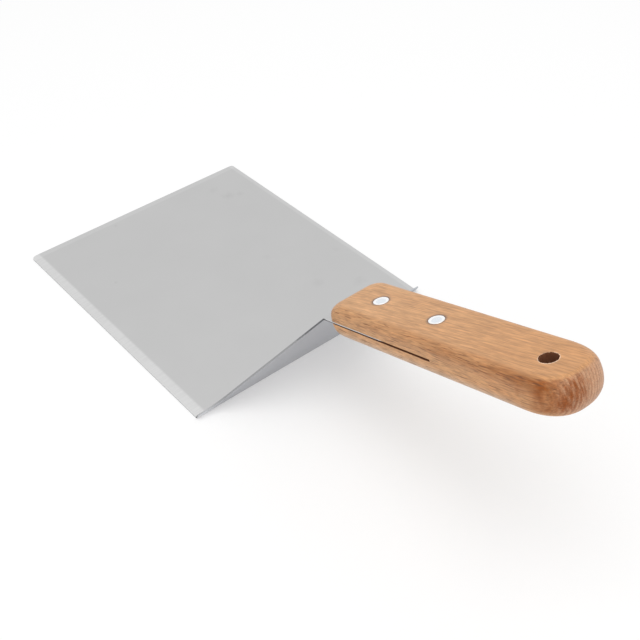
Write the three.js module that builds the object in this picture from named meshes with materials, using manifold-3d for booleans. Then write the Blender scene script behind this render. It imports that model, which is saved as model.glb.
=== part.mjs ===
// Pizza spatula: a folded stainless steel blade whose tang is riveted into a slotted beech handle.
// Millimetres. +X runs from the blade's front edge to the handle's tail, +Y across the blade, +Z up.
// The origin is the middle of the blade's flat underside, which lies on the table.

import * as THREE from 'three';
import { mergeVertices } from 'three/addons/utils/BufferGeometryUtils.js';
import Module from 'manifold-3d';

const wasm = await Module();
wasm.setup();

const { degToRad } = THREE.MathUtils;

// Sheet steel
const sheetThickness = 0.7;
const edgeBreak = 0.1; // burr taken off the cut edges

// Flat blade
const bladeLength = 152.9; // front edge to the corner of the fold
const bladeWidth = 127;
const frontCornerRadius = 1.6;
const groundEdgeThickness = 0.25; // steel left at the edge of the ground bevels
const frontBevelWidth = 4;
const leftBevelWidthFront = 4.2; // left is the -Y side, for a cook who holds the handle
const leftBevelWidthRear = 4.7;
const rightBevelWidth = 2.5;

// Wall behind the blade, which rises to the handle
const foldRadius = 1.2; // at mid thickness
const wallLean = degToRad(57.7); // up from the blade's plane
const wallLength = 51.8; // corner of the fold to corner of the tang bend
const lipRun = 2.5; // full-width run above the fold, which leaves a low lip at each side
const lipLength = 8; // reach of each lip, from the blade's side to the foot of the sloping edge

// Tang
const tangBendRadius = 2.5; // at mid thickness
const tangRise = degToRad(17.9); // up from the blade's plane
const tangInset = 0.05; // how far the tang's edges lie inside the handle's sides
const tangTaperSetback = 33; // handle front to where the tang starts to draw in
const tangTaperRun = 9;
const tangTaperInset = 0.8; // how far each edge has drawn in after that run
const tangWaistRun = 8;
const tangTipWidth = 19;
const tangTipRadius = 4;

// Handle
const handleStandoff = 1.5; // end of the tang bend to the handle's front
const handleLength = 123;
const handleFrontWidth = 26.9;
const handleTailWidth = 28.2;
const handleThickness = 14.8;
const handleTopRounding = 3.8;
const handleBottomRounding = 4.5;
const handleFrontRounding = 7.1;
const handleFrontCornerRadius = 5.2;
const handleTailRoundLength = 16.3; // reach of the tail's oval end
const handleTailFullness = 2.5; // 2 is a plain oval, and more is squarer
const handleTailCrown = 2.95; // how far the tail swells out past its rims
const handleTailRimRounding = 1.2;
const hangHoleDiameter = 7;
const hangHoleSetback = 16.1; // from the tail

// Slot for the tang
const slotPastRivet = 9; // rear rivet to the end of the slot
const slotClearance = 0.2;
const tangTipClearance = 0.6;

// Two-piece rivets
const frontRivetSetback = 20.9; // from the handle's front
const rivetSpacing = 32.1;
const rivetHeadDiameter = 6.3;
const rivetHeadThickness = 1.6;
const rivetHeadDish = 0.25; // depth of the hollow in each head
const rivetRimWidth = 1.1;
const rivetSleeveDiameter = 4.2;
const rivetSleeveWall = 0.6;
const rivetClearance = 0.3;

// Facets of the round forms
const bendSteps = 6;
const cornerSteps = 4;
const tailSteps = 24;
const roundingSteps = 6;
const roundSides = 32;

const steel = new THREE.MeshStandardMaterial({ color: 0xc3c4c5, roughness: 0.42, metalness: 1 });
const beech = new THREE.MeshStandardMaterial({ color: 0xd6a980, roughness: 0.55, metalness: 0 });
const aluminium = new THREE.MeshStandardMaterial({ color: 0xe9edf1, roughness: 0.3, metalness: 1 });

// Where the bends and the handle lie along the sheet

const foldTangent = foldRadius * Math.tan(wallLean / 2);
const tangBend = wallLean - tangRise;
const tangBendTangent = tangBendRadius * Math.tan(tangBend / 2);
const handleFront = tangBendTangent + handleStandoff; // from the corner of the tang bend
const frontRivet = handleFront + frontRivetSetback;
const rearRivet = frontRivet + rivetSpacing;
const slotEnd = rearRivet + slotPastRivet;
const tangTip = slotEnd - tangTipClearance;
const handleTail = handleFront + handleLength;
const hangHole = handleTail - hangHoleSetback;
const halfHandle = handleThickness / 2;
const halfTang = handleFrontWidth / 2 - tangInset;

const tangCorner = new THREE.Vector3(
  bladeLength / 2 + wallLength * Math.cos(wallLean),
  0,
  sheetThickness / 2 + wallLength * Math.sin(wallLean),
);

// The straight runs and bends of the sheet's middle line, from the front edge to the tang's tip.
const sheetRuns = [
  { length: bladeLength - foldTangent, turn: 0 },
  { length: foldRadius * wallLean, turn: wallLean },
  { length: wallLength - foldTangent - tangBendTangent, turn: 0 },
  { length: tangBendRadius * tangBend, turn: -tangBend },
  { length: tangTip - tangBendTangent, turn: 0 },
];

// Place and direction of the sheet's middle line at a distance from the front edge.
function sheetLineAt(distance) {
  const place = { x: -bladeLength / 2, z: sheetThickness / 2, heading: 0 };
  let remaining = distance;
  for (const run of sheetRuns) {
    const length = Math.min(remaining, run.length);
    const turn = run.turn * (length / run.length);
    const chord = turn === 0 ? length : (2 * length * Math.sin(turn / 2)) / turn;
    place.x += chord * Math.cos(place.heading + turn / 2);
    place.z += chord * Math.sin(place.heading + turn / 2);
    place.heading += turn;
    remaining -= length;
  }
  return place;
}

// A closed surface over rings with the same number of points, with a flat cap on each end ring.
function skinRings(rings) {
  const count = rings[0].length;
  const vertices = rings.flat();
  const triangles = [];
  for (let ring = 0; ring < rings.length - 1; ring += 1) {
    for (let side = 0; side < count; side += 1) {
      const a = ring * count + side;
      const b = ring * count + ((side + 1) % count);
      triangles.push(a, b, b + count, a, b + count, a + count);
    }
  }
  const lastRing = (rings.length - 1) * count;
  for (let side = 1; side < count - 1; side += 1) {
    triangles.push(0, side + 1, side);
    triangles.push(lastRing, lastRing + side, lastRing + side + 1);
  }
  const geometry = new THREE.BufferGeometry();
  geometry.setFromPoints(vertices);
  geometry.setIndex(triangles);
  return geometry;
}

function solidFrom(geometry) {
  const bare = geometry.clone();
  bare.deleteAttribute('normal');
  bare.deleteAttribute('uv');
  const merged = mergeVertices(bare);
  return new wasm.Manifold(new wasm.Mesh({
    numProp: 3,
    vertProperties: new Float32Array(merged.attributes.position.array),
    triVerts: new Uint32Array(merged.index.array),
  }));
}

function cutAway(geometry, cutters) {
  let solid = solidFrom(geometry);
  for (const cutter of cutters) {
    solid = solid.subtract(solidFrom(cutter));
  }
  const mesh = solid.getMesh();
  const cut = new THREE.BufferGeometry();
  cut.setAttribute('position', new THREE.BufferAttribute(new Float32Array(mesh.vertProperties), 3));
  cut.setIndex(new THREE.BufferAttribute(new Uint32Array(mesh.triVerts), 1));
  return cut;
}

function namedMesh(name, geometry, material) {
  geometry.computeVertexNormals();
  const mesh = new THREE.Mesh(geometry, material);
  mesh.name = name;
  return mesh;
}

// A round cutter whose axis stands square to the handle, between two heights.
function boreCutter(along, diameter, bottom, top) {
  const cutter = new THREE.CylinderGeometry(diameter / 2, diameter / 2, top - bottom, roundSides);
  cutter.rotateX(Math.PI / 2);
  cutter.translate(along, 0, (top + bottom) / 2);
  return cutter;
}

// Angles of a quarter turn in equal steps, both ends included.
function quarterTurn(steps) {
  return Array.from({ length: steps + 1 }, (_, step) => (step / steps) * (Math.PI / 2));
}

// The blade: one sheet, drawn as cross-sections along its bent middle line.

const foldStart = sheetRuns[0].length;
const foldEnd = foldStart + sheetRuns[1].length;
const tangBendStart = foldEnd + sheetRuns[2].length;
const tangBendEnd = tangBendStart + sheetRuns[3].length;
const tangEnd = tangBendEnd + sheetRuns[4].length;

// One cross-section: flat underside, upright edges and a bevel or broken edge along each side of the top.
function sheetSection(at, halfWidth, leftBevel, rightBevel, edgeHeight, topHeight) {
  const { x, z, heading } = sheetLineAt(at);
  const outline = [
    [-halfWidth, 0],
    [halfWidth, 0],
    [halfWidth, edgeHeight],
    [halfWidth - rightBevel, topHeight],
    [-halfWidth + leftBevel, topHeight],
    [-halfWidth, edgeHeight],
  ];
  return outline.map(([y, height]) => {
    const offset = height - sheetThickness / 2;
    return new THREE.Vector3(x - offset * Math.sin(heading), y, z + offset * Math.cos(heading));
  });
}

// A section of the flat blade: the side bevels meet the front bevel in mitred corners.
function bladeSection(at, halfWidth) {
  const mitre = Math.min(1, at / frontBevelWidth);
  const leftBevel = THREE.MathUtils.lerp(leftBevelWidthFront, leftBevelWidthRear, at / foldStart);
  const topHeight = THREE.MathUtils.lerp(groundEdgeThickness, sheetThickness, mitre);
  return sheetSection(
    at,
    halfWidth,
    Math.max(edgeBreak, leftBevel * mitre),
    Math.max(edgeBreak, rightBevelWidth * mitre),
    groundEdgeThickness,
    topHeight,
  );
}

// A section past the flat blade, whose bevels fade out along the fold.
function bentSection(at, halfWidth) {
  const fade = Math.min(1, (at - foldStart) / (foldEnd - foldStart));
  return sheetSection(
    at,
    halfWidth,
    THREE.MathUtils.lerp(leftBevelWidthRear, edgeBreak, fade),
    THREE.MathUtils.lerp(rightBevelWidth, edgeBreak, fade),
    THREE.MathUtils.lerp(groundEdgeThickness, sheetThickness - edgeBreak, fade),
    sheetThickness,
  );
}

// Half the blade's width at a distance from the front edge, where the corners are rounded.
function bladeHalfWidth(at) {
  const short = Math.max(0, frontCornerRadius - at);
  return bladeWidth / 2 - frontCornerRadius + Math.sqrt(frontCornerRadius ** 2 - short ** 2);
}

// Distances at which the front of the blade needs a section: round the corners and behind the bevel.
function frontStations() {
  const corner = quarterTurn(cornerSteps).map((angle) => frontCornerRadius * (1 - Math.cos(angle)));
  return [...corner, frontBevelWidth].sort((a, b) => a - b);
}

// The curve from a lip's end into the sloping edge: distance along the sheet against half width.
function shoulderCurve() {
  const lipEnd = new THREE.Vector2(foldEnd + lipRun, bladeWidth / 2);
  const slopeFoot = new THREE.Vector2(foldEnd + lipRun, bladeWidth / 2 - lipLength);
  const slopeTop = new THREE.Vector2(tangBendStart, halfTang);
  const slopeStart = slopeFoot.clone().lerp(slopeTop, lipLength / slopeFoot.distanceTo(slopeTop));
  return new THREE.QuadraticBezierCurve(lipEnd, slopeFoot, slopeStart);
}

// Distances at which a bend between two distances needs a section.
function bendStations(start, end) {
  const stations = [];
  for (let step = 0; step <= bendSteps; step += 1) {
    stations.push(THREE.MathUtils.lerp(start, end, step / bendSteps));
  }
  return stations;
}

function bladeGeometry() {
  const halfTip = tangTipWidth / 2;
  const tangCornerAt = tangBendEnd - tangBendTangent;
  const taper = tangCornerAt + handleFront + tangTaperSetback;
  const waist = taper + tangTaperRun;
  const sections = [
    ...frontStations().map((at) => bladeSection(at, bladeHalfWidth(at))),
    ...bendStations(foldStart, foldEnd).map((at) => bentSection(at, bladeWidth / 2)),
    ...shoulderCurve().getPoints(cornerSteps).map((point) => bentSection(point.x, point.y)),
    ...bendStations(tangBendStart, tangBendEnd).map((at) => bentSection(at, halfTang)),
    bentSection(taper, halfTang),
    bentSection(waist, halfTang - tangTaperInset),
    bentSection(waist + tangWaistRun, halfTip),
  ];
  for (const angle of quarterTurn(cornerSteps)) {
    const inset = tangTipRadius * (1 - Math.cos(angle));
    sections.push(bentSection(tangEnd - tangTipRadius * (1 - Math.sin(angle)), halfTip - inset));
  }
  return skinRings(sections);
}

// The handle, in its own frame: +X along the tang from its bend, Z measured from the tang's middle.

const handleGroup = new THREE.Group();
handleGroup.position.copy(tangCorner);
handleGroup.rotation.y = -tangRise;
handleGroup.updateMatrix();

// How far a rounded edge has drawn in at a height over the handle's middle.
function roundingInset(radius, height) {
  const limited = Math.min(radius, halfHandle);
  const past = Math.max(0, Math.abs(height) - (halfHandle - limited));
  return limited - Math.sqrt(Math.max(0, limited ** 2 - past ** 2));
}

// How far the tail's crown and its rounded rims have drawn in at a height.
function tailInset(height) {
  const radius = (halfHandle ** 2 + handleTailCrown ** 2) / (2 * handleTailCrown);
  const swell = radius - Math.sqrt(radius ** 2 - height ** 2);
  return swell + roundingInset(handleTailRimRounding, height);
}

// The handle's outline at one height: a front with round corners, straight sides and an oval tail.
function handleOutline(height) {
  const sideInset = roundingInset(height > 0 ? handleTopRounding : handleBottomRounding, height);
  const front = handleFront + roundingInset(handleFrontRounding, height);
  const tail = handleTail - tailInset(height);
  const halfFront = handleFrontWidth / 2 - sideInset;
  const halfTail = handleTailWidth / 2 - sideInset;
  const corner = Math.min(handleFrontCornerRadius, halfFront);
  const half = [];
  for (const angle of quarterTurn(cornerSteps)) {
    half.push([front + corner * (1 - Math.cos(angle)), halfFront - corner * (1 - Math.sin(angle))]);
  }
  const power = 2 / handleTailFullness;
  for (const angle of quarterTurn(tailSteps / 2)) {
    const reach = handleTailRoundLength * (1 - Math.sin(angle) ** power);
    half.push([tail - reach, halfTail * Math.cos(angle) ** power]);
  }
  const right = half.map(([x, y]) => new THREE.Vector3(x, y, height));
  const left = half.slice(0, -1).map(([x, y]) => new THREE.Vector3(x, -y, height));
  return [...left, ...right.reverse()];
}

function handleGeometry() {
  const rounds = quarterTurn(roundingSteps).map((angle) => halfHandle * Math.sin(angle));
  const heights = [...rounds.slice(1).reverse().map((height) => -height), ...rounds];
  const body = skinRings(heights.map(handleOutline));

  const slotThickness = sheetThickness + 2 * slotClearance;
  const slot = new THREE.BoxGeometry(slotEnd, 2 * handleTailWidth, slotThickness);
  slot.translate(slotEnd / 2, 0, 0);

  const through = handleThickness; // cutters run well past both faces
  const hole = boreCutter(hangHole, hangHoleDiameter, -through, through);
  const cutters = [slot, hole];
  const shankBore = rivetSleeveDiameter + 2 * rivetClearance;
  const headBore = rivetHeadDiameter + 2 * rivetClearance;
  const headSeat = halfHandle - rivetHeadThickness - rivetClearance;
  for (const along of [frontRivet, rearRivet]) {
    cutters.push(boreCutter(along, shankBore, -through, through));
    cutters.push(boreCutter(along, headBore, headSeat, through));
    cutters.push(boreCutter(along, headBore, -through, -headSeat));
  }
  return cutAway(body, cutters);
}

// Rivets: a sleeve pushed in from the top face takes a post from the bottom face.

const headUnderside = halfHandle - rivetHeadThickness;
const sleeveBoreDiameter = rivetSleeveDiameter - 2 * rivetSleeveWall;

// The dished head, from the axis out to its underside, for a rivet whose head lies in the top face.
function rivetHeadProfile() {
  const rim = rivetHeadDiameter / 2;
  return [
    new THREE.Vector2(0, halfHandle - rivetHeadDish),
    new THREE.Vector2(rim - rivetRimWidth, halfHandle - rivetHeadDish),
    new THREE.Vector2(rim - rivetRimWidth / 2, halfHandle),
    new THREE.Vector2(rim, halfHandle),
    new THREE.Vector2(rim, headUnderside),
  ];
}

function turned(profile) {
  const geometry = new THREE.LatheGeometry(profile.reverse(), roundSides);
  geometry.rotateX(Math.PI / 2);
  return mergeVertices(geometry.deleteAttribute('normal').deleteAttribute('uv'));
}

function sleeveGeometry() {
  const tubeEnd = -headUnderside + rivetClearance;
  const outside = rivetSleeveDiameter / 2;
  const bore = sleeveBoreDiameter / 2;
  return turned([
    ...rivetHeadProfile(),
    new THREE.Vector2(outside, headUnderside),
    new THREE.Vector2(outside, tubeEnd),
    new THREE.Vector2(bore, tubeEnd),
    new THREE.Vector2(bore, headUnderside),
    new THREE.Vector2(0, headUnderside),
  ]);
}

function postGeometry() {
  const shank = sleeveBoreDiameter / 2 - rivetClearance;
  const shankEnd = -headUnderside + rivetClearance;
  const geometry = turned([
    ...rivetHeadProfile(),
    new THREE.Vector2(shank, headUnderside),
    new THREE.Vector2(shank, shankEnd),
    new THREE.Vector2(0, shankEnd),
  ]);
  return geometry.rotateX(Math.PI);
}

// Assembly

const spatula = new THREE.Group();

const tangHoles = [frontRivet, rearRivet].map((along) => {
  const bore = rivetSleeveDiameter + 2 * rivetClearance;
  const cutter = boreCutter(along, bore, -halfHandle, halfHandle);
  return cutter.applyMatrix4(handleGroup.matrix);
});
spatula.add(namedMesh('blade', cutAway(bladeGeometry(), tangHoles), steel));

handleGroup.add(namedMesh('handle', handleGeometry(), beech));
for (const [place, along] of [['front', frontRivet], ['rear', rearRivet]]) {
  const sleeve = namedMesh(`${place}_rivet_sleeve`, sleeveGeometry(), aluminium);
  const post = namedMesh(`${place}_rivet_post`, postGeometry(), aluminium);
  sleeve.position.x = along;
  post.position.x = along;
  handleGroup.add(sleeve, post);
}
spatula.add(handleGroup);

export default spatula;
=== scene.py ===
# %% [markdown]
# # A pizza spatula with a folded steel blade and a beech handle
#
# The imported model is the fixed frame: it says where every piece lies and how large it is. This lesson
# models each piece again by hand, with the roundings and cuts that a camera sees, and gives it a finish.
# Every size is in millimetres times MM, because Blender's unit is the metre.

import math
import random

import bmesh
import bpy
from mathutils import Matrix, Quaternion, Vector


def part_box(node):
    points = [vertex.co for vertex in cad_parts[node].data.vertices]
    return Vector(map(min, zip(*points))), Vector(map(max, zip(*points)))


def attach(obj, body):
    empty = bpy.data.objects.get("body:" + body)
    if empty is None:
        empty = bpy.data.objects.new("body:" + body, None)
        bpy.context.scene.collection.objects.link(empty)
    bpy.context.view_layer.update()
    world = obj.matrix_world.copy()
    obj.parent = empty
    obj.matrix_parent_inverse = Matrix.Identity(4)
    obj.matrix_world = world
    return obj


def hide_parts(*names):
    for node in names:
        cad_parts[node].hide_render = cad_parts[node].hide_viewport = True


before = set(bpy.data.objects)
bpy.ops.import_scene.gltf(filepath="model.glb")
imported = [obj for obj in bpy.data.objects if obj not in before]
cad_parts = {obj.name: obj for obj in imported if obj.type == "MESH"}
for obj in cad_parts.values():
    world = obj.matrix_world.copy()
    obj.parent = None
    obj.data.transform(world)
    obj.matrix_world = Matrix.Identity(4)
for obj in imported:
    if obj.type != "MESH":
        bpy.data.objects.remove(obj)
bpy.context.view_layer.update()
MM = 0.001

# %% [markdown]
# ## Camera
#
# The camera comes first, because it decides which details matter. It stands behind the handle, to the
# left, and looks down on the blade. A camera that is aimed by a place, a point to look at and a small roll
# is easier to understand than one that is turned by three angles.

# %% Camera
CAMERA_PLACE = Vector((355.36, -201.15, 314.02)) * MM
CAMERA_AIM = Vector((62.48, 15.6, 0)) * MM
CAMERA_ROLL = math.radians(-3.94)
CAMERA_LENS = 57.81  # for Blender's sensor of 36 mm

camera = bpy.data.objects.new("camera", bpy.data.cameras.new("camera"))
bpy.context.scene.collection.objects.link(camera)
bpy.context.scene.camera = camera
camera.data.lens = CAMERA_LENS
camera.location = CAMERA_PLACE
camera.rotation_mode = "QUATERNION"
aimed = (CAMERA_AIM - CAMERA_PLACE).to_track_quat("-Z", "Y")
camera.rotation_quaternion = aimed @ Quaternion((0, 0, 1), CAMERA_ROLL)
print("camera stands", round((CAMERA_AIM - CAMERA_PLACE).length / MM), "mm from its aim")

# %% [markdown]
# ## Small tools
#
# Modelling by hand is a round of selecting, then doing. With a mouse you click on an edge; in a script you
# say which edge you mean by a test, such as "both ends lie on the rear line". `pick` does that in edit mode.
# An operator acts on all that is selected, so `choose` selects one piece and nothing else, and `edit`
# opens it. A piece that has just been added is the only one selected.

# %% Tools for selecting and editing
TINY = 0.001 * MM


def choose(piece):
    if bpy.context.mode != "OBJECT":
        bpy.ops.object.mode_set(mode="OBJECT")
    bpy.ops.object.select_all(action="DESELECT")
    piece.select_set(True)
    bpy.context.view_layer.objects.active = piece


def edit(piece):
    choose(piece)
    bpy.ops.object.mode_set(mode="EDIT")


def pick(piece, kind, test):
    """Select the verts, edges or faces of a piece that pass a test."""
    modes = {"verts": "VERT", "edges": "EDGE", "faces": "FACE"}
    bpy.ops.mesh.select_mode(type=modes[kind])
    bpy.ops.mesh.select_all(action="DESELECT")
    mesh = bmesh.from_edit_mesh(piece.data)
    mesh.normal_update()
    for part in [part for part in getattr(mesh, kind) if test(part)]:
        part.select_set(True)
    mesh.select_flush_mode()
    bmesh.update_edit_mesh(piece.data)


def apply_modifier(piece, kind, **settings):
    choose(piece)
    modifier = piece.modifiers.new(kind.lower(), kind)
    for name, value in settings.items():
        setattr(modifier, name, value)
    bpy.ops.object.modifier_apply(modifier=modifier.name)


print("tools ready: choose, edit, pick, apply_modifier")

# %% [markdown]
# ## Blade: flat sheet and fold
#
# The blade, the wall behind it and the tang inside the handle are one piece of stainless sheet, cut flat and
# bent twice. A box could be cut to this shape, but a sheet is better made as a press does it: a plane in
# the middle of the sheet, whose rear edge is pulled on. The spin operator is the press brake: it swings the
# edge round a centre and leaves a smooth bend.

# %% Flat blade and fold
SHEET_THICKNESS = 0.7 * MM
FRONT_CORNER_RADII = [2.8 * MM, 1.6 * MM]  # left and right, where left is the -Y side
FRONT_CORNER_STEPS = 8
FOLD_RADIUS = 1.2 * MM
FOLD_STEPS = 12
WALL_LEAN = math.radians(57.7)
ACROSS = (0, 1, 0)

blade_low, blade_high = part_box("blade")
blade_front = blade_low.x
blade_half = blade_high.y
fold_corner = -blade_front  # the frame's origin is the middle of the blade
fold_tangent = FOLD_RADIUS * math.tan(WALL_LEAN / 2)
fold_start = fold_corner - fold_tangent
sheet_middle = SHEET_THICKNESS / 2
fold_centre = Vector((fold_start, 0, sheet_middle + FOLD_RADIUS))

flat_middle = (blade_front + fold_start) / 2
bpy.ops.mesh.primitive_plane_add(size=1, location=(flat_middle, 0, sheet_middle))
blade = bpy.context.object
blade.name = "blade_sheet"
blade.scale = (fold_start - blade_front, 2 * blade_half, 1)
bpy.ops.object.transform_apply(location=True, rotation=True, scale=True)

edit(blade)
for side, radius in zip((-1, 1), FRONT_CORNER_RADII):
    pick(blade, "verts", lambda vert: vert.co.x < blade_front + TINY and vert.co.y * side > 0)
    bpy.ops.mesh.bevel(affect="VERTICES", offset=radius, segments=FRONT_CORNER_STEPS)
pick(blade, "edges", lambda edge: all(vert.co.x > fold_start - TINY for vert in edge.verts))
bpy.ops.mesh.spin(steps=FOLD_STEPS, angle=WALL_LEAN, center=fold_centre, axis=ACROSS)
print("blade", round((fold_corner - blade_front) / MM, 1), "mm long,", len(blade.data.vertices), "points")

# %% [markdown]
# ## Blade: wall and shoulders
#
# Above the fold the sheet rises as a wall and narrows to the tang. A low lip runs on at the full width, and a
# curved shoulder leads from the lip into the sloping edge. Each row is one extrusion along the wall,
# followed by a resize across it, so the outline stays a short list of distances and half widths.

# %% Wall
WALL_LENGTH = 51.8 * MM  # corner of the fold to corner of the tang bend
LIP_RUN = 2.5 * MM
LIP_LENGTH = 8 * MM
SHOULDER_STEPS = 8
TANG_BEND_RADIUS = 2.5 * MM
TANG_BEND_STEPS = 10
TANG_RISE = math.radians(17.9)
HANDLE_FRONT_WIDTH = 26.9 * MM
TANG_INSET = 0.05 * MM

tang_half = HANDLE_FRONT_WIDTH / 2 - TANG_INSET
tang_bend_tangent = TANG_BEND_RADIUS * math.tan((WALL_LEAN - TANG_RISE) / 2)
wall_way = Vector((math.cos(WALL_LEAN), 0, math.sin(WALL_LEAN)))
wall_straight = WALL_LENGTH - fold_tangent - tang_bend_tangent


def pick_last_row(piece):
    """The sheet rises all the way from its fold, so its last edge is the highest one."""
    top = max(vert.co.z for vert in bmesh.from_edit_mesh(piece.data).verts)
    pick(piece, "edges", lambda edge: all(vert.co.z > top - TINY for vert in edge.verts))


def extrude_rows(piece, way, rows):
    """Pull the last edge along a way, to each distance and half width in turn."""
    pick_last_row(piece)
    done, half = rows[0]
    for distance, next_half in rows[1:]:
        bpy.ops.mesh.extrude_edges_move(TRANSFORM_OT_translate={"value": way * (distance - done)})
        bpy.ops.transform.resize(value=(1, next_half / half, 1), center_override=(0, 0, 0))
        done, half = distance, next_half


lip_end = Vector((LIP_RUN, blade_half))
slope_foot = Vector((LIP_RUN, blade_half - LIP_LENGTH))
slope_top = Vector((wall_straight, tang_half))
slope_start = slope_foot + (slope_top - slope_foot).normalized() * LIP_LENGTH
wall_rows = [(0, blade_half), tuple(lip_end)]
for step in range(1, SHOULDER_STEPS + 1):
    share = step / SHOULDER_STEPS
    to_foot = lip_end.lerp(slope_foot, share)
    to_slope = slope_foot.lerp(slope_start, share)
    wall_rows.append(tuple(to_foot.lerp(to_slope, share)))
wall_rows.append(tuple(slope_top))
extrude_rows(blade, wall_way, wall_rows)
print("wall rises", round(wall_straight * wall_way.z / MM, 1), "mm in", len(wall_rows) - 1, "rows")

# %% [markdown]
# ## Blade: tang
#
# The second bend turns the sheet back towards the table's plane, and the tang runs on inside the handle. Its
# first part is as wide as the handle, so its edge shows in the handle's side. Then it draws in, and
# only the empty saw cut shows.

# %% Tang
HANDLE_STANDOFF = 1.5 * MM
FRONT_RIVET_SETBACK = 20.9 * MM
RIVET_SPACING = 32.1 * MM
SLOT_PAST_RIVET = 9 * MM
TANG_TIP_CLEARANCE = 0.6 * MM
TANG_TAPER_SETBACK = 33 * MM  # handle front to where the tang starts to draw in
TANG_TAPER_RUN = 9 * MM
TANG_TAPER_INSET = 0.8 * MM
TANG_WAIST_RUN = 8 * MM
TANG_TIP_WIDTH = 19 * MM
TANG_TIP_RADIUS = 4 * MM
TANG_TIP_STEPS = 6

behind_wall = Vector((math.sin(WALL_LEAN), 0, -math.cos(WALL_LEAN)))
wall_end = fold_centre + FOLD_RADIUS * behind_wall + wall_way * wall_straight
tang_bend_centre = wall_end + TANG_BEND_RADIUS * behind_wall
tang_way = Vector((math.cos(TANG_RISE), 0, math.sin(TANG_RISE)))
tang_corner = wall_end + wall_way * tang_bend_tangent
handle_front = tang_bend_tangent + HANDLE_STANDOFF  # all along the tang from its corner
front_rivet = handle_front + FRONT_RIVET_SETBACK
rivet_places = [front_rivet, front_rivet + RIVET_SPACING]
slot_end = rivet_places[1] + SLOT_PAST_RIVET
taper = handle_front + TANG_TAPER_SETBACK
waist = taper + TANG_TAPER_RUN

pick_last_row(blade)
bpy.ops.mesh.spin(steps=TANG_BEND_STEPS, angle=TANG_RISE - WALL_LEAN, center=tang_bend_centre, axis=ACROSS)
extrude_rows(blade, tang_way, [
    (tang_bend_tangent, tang_half),
    (taper, tang_half),
    (waist, tang_half - TANG_TAPER_INSET),
    (waist + TANG_WAIST_RUN, TANG_TIP_WIDTH / 2),
    (slot_end - TANG_TIP_CLEARANCE, TANG_TIP_WIDTH / 2),
])
tip_height = max(vert.co.z for vert in bmesh.from_edit_mesh(blade.data).verts)
pick(blade, "verts", lambda vert: vert.co.z > tip_height - TINY)
bpy.ops.mesh.bevel(affect="VERTICES", offset=TANG_TIP_RADIUS, segments=TANG_TIP_STEPS)
bpy.ops.object.mode_set(mode="OBJECT")
print("tang corner in mm:", [round(x / MM, 2) for x in tang_corner])

# %% [markdown]
# ## Blade: thickness
#
# Solidify grows the plane by half the sheet's thickness to each side, with an even offset round the bends.
# It also puts the cut edges into a material slot of their own, because a sheared edge is duller than
# the rolled faces. Then the tang gets its rivet holes from two round cutters.

# %% Thickness and rivet holes
RIVET_HOLE_DIAMETER = 4.8 * MM
ROUND_SIDES = 64
CUTTER_DEPTH = 10 * SHEET_THICKNESS

satin_steel = bpy.data.materials.new("satin_rolled_stainless_steel")
sheared_steel = bpy.data.materials.new("sheared_stainless_edge")
for steel in (satin_steel, sheared_steel):
    blade.data.materials.append(steel)
SHEARED = 1

apply_modifier(
    blade, "SOLIDIFY", thickness=SHEET_THICKNESS, offset=0, use_even_offset=True,
    material_offset_rim=SHEARED,
)


def handle_place(along):
    """A point on the handle's middle line, along the tang from its corner."""
    return tang_corner + tang_way * along


def cut(piece, cutter):
    apply_modifier(
        piece, "BOOLEAN", object=cutter, operation="DIFFERENCE", solver="EXACT",
        material_mode="TRANSFER",
    )
    bpy.data.objects.remove(cutter)


for along in rivet_places:
    bpy.ops.mesh.primitive_cylinder_add(
        vertices=ROUND_SIDES, radius=RIVET_HOLE_DIAMETER / 2, depth=CUTTER_DEPTH,
        location=handle_place(along), rotation=(0, -TANG_RISE, 0),
    )
    hole_cutter = bpy.context.object
    hole_cutter.data.materials.append(sheared_steel)
    cut(blade, hole_cutter)
print("sheet is", round(SHEET_THICKNESS / MM, 2), "mm thick, with", len(blade.data.polygons), "faces")

# %% [markdown]
# ## Blade: ground bevels
#
# The front and both sides are ground to a thin edge, so that the blade slides under a crust. A bevel operator
# takes the same width off both faces of an edge, but grinding takes four millimetres off the top
# and half a millimetre off the side. So the top is cut along each bevel's upper line with bisect, and
# the outer border is pushed down. The push fades out along the fold, where the grinding wheel left the sheet.

# %% Ground bevels
GROUND_EDGE_THICKNESS = 0.25 * MM
FRONT_BEVEL_WIDTH = 4 * MM
LEFT_BEVEL_FRONT = 4.2 * MM
LEFT_BEVEL_REAR = 4.7 * MM
RIGHT_BEVEL_WIDTH = 2.5 * MM
UPWARD = 0.5  # the least upward part of a normal on an upper face
UPRIGHT = 0.1  # the most of it on an upright face

lip_end_x = fold_corner + (fold_tangent + LIP_RUN) * wall_way.x
left_line = Vector((fold_start - blade_front, LEFT_BEVEL_REAR - LEFT_BEVEL_FRONT, 0))
left_square = Vector((-left_line.y, left_line.x, 0)).normalized()
bevel_lines = [
    (Vector((blade_front + FRONT_BEVEL_WIDTH, 0, 0)), Vector((1, 0, 0))),
    (Vector((blade_front, -blade_half + LEFT_BEVEL_FRONT, 0)), left_square),
    (Vector((0, blade_half - RIGHT_BEVEL_WIDTH, 0)), Vector((0, -1, 0))),
]


def faces_up(face):
    """The upper side of the blade, of its fold and of the lip."""
    return face.normal.z > UPWARD and face.calc_center_median().x < lip_end_x


def on_ground_border(vert):
    """A corner between an upper face and an upright cut edge."""
    cut_edges = [face for face in vert.link_faces if face.material_index == SHEARED]
    upright = any(abs(face.normal.z) < UPRIGHT for face in cut_edges)
    return upright and any(faces_up(face) for face in vert.link_faces)


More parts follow.
